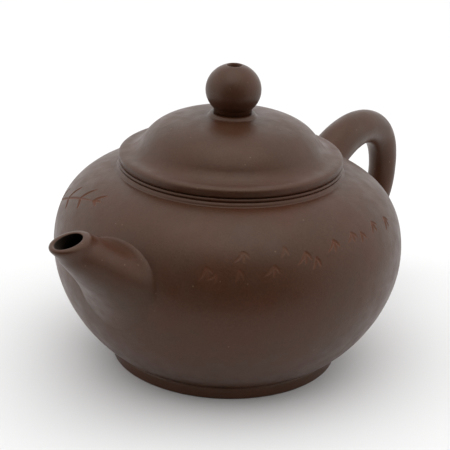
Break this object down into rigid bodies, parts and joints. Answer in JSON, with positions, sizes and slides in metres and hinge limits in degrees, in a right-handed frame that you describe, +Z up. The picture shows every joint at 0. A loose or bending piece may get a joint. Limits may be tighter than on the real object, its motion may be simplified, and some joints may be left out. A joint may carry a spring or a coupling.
{
  "type": "small clay teapot",
  "caption": "Small round-bellied unglazed stoneware teapot with a short spout, a loop handle and a domed lift-off lid with a pierced ball knob.",
  "frame": {"origin": "on the pot's axis, in the plane that the foot ring stands on", "axes": "+Z up along the pot's axis, the spout towards -X, the handle towards +X"},
  "size_m": [0.1301, 0.082, 0.0709],
  "materials": {
    "clay_body": "unglazed purple-brown stoneware, rubbed to a soft sheen",
    "clay_lid": "unglazed purple-brown stoneware, rubbed to a soft sheen",
    "clay_inner": "unglazed purple-brown stoneware, matt and unrubbed"
  },
  "bodies": {
    "pot": {"body_wall": "clay_body", "base_disc": "clay_inner", "foot_ring": "clay_body", "shoulder_disc": "clay_body", "neck_ring": "clay_body", "mouth_rim": "clay_body", "spout": "clay_body", "strainer": "clay_inner", "handle": "clay_body"},
    "lid_lifter": {"lid_flange": "clay_inner"},
    "lid": {"lid_plate": "clay_lid", "lid_dome": "clay_lid", "knob_collar": "clay_lid", "lid_knob": "clay_lid"}
  },
  "joints": [
    {"name": "lid_lift", "type": "slide", "parent": "pot", "child": "lid_lifter", "axis": [0, 0, 1], "range_m": [0, 0.06]},
    {"name": "lid_turn", "type": "hinge", "parent": "lid_lifter", "child": "lid", "pos_m": [0, 0, 0.0482], "axis": [0, 0, 1], "continuous": true}
  ]
}
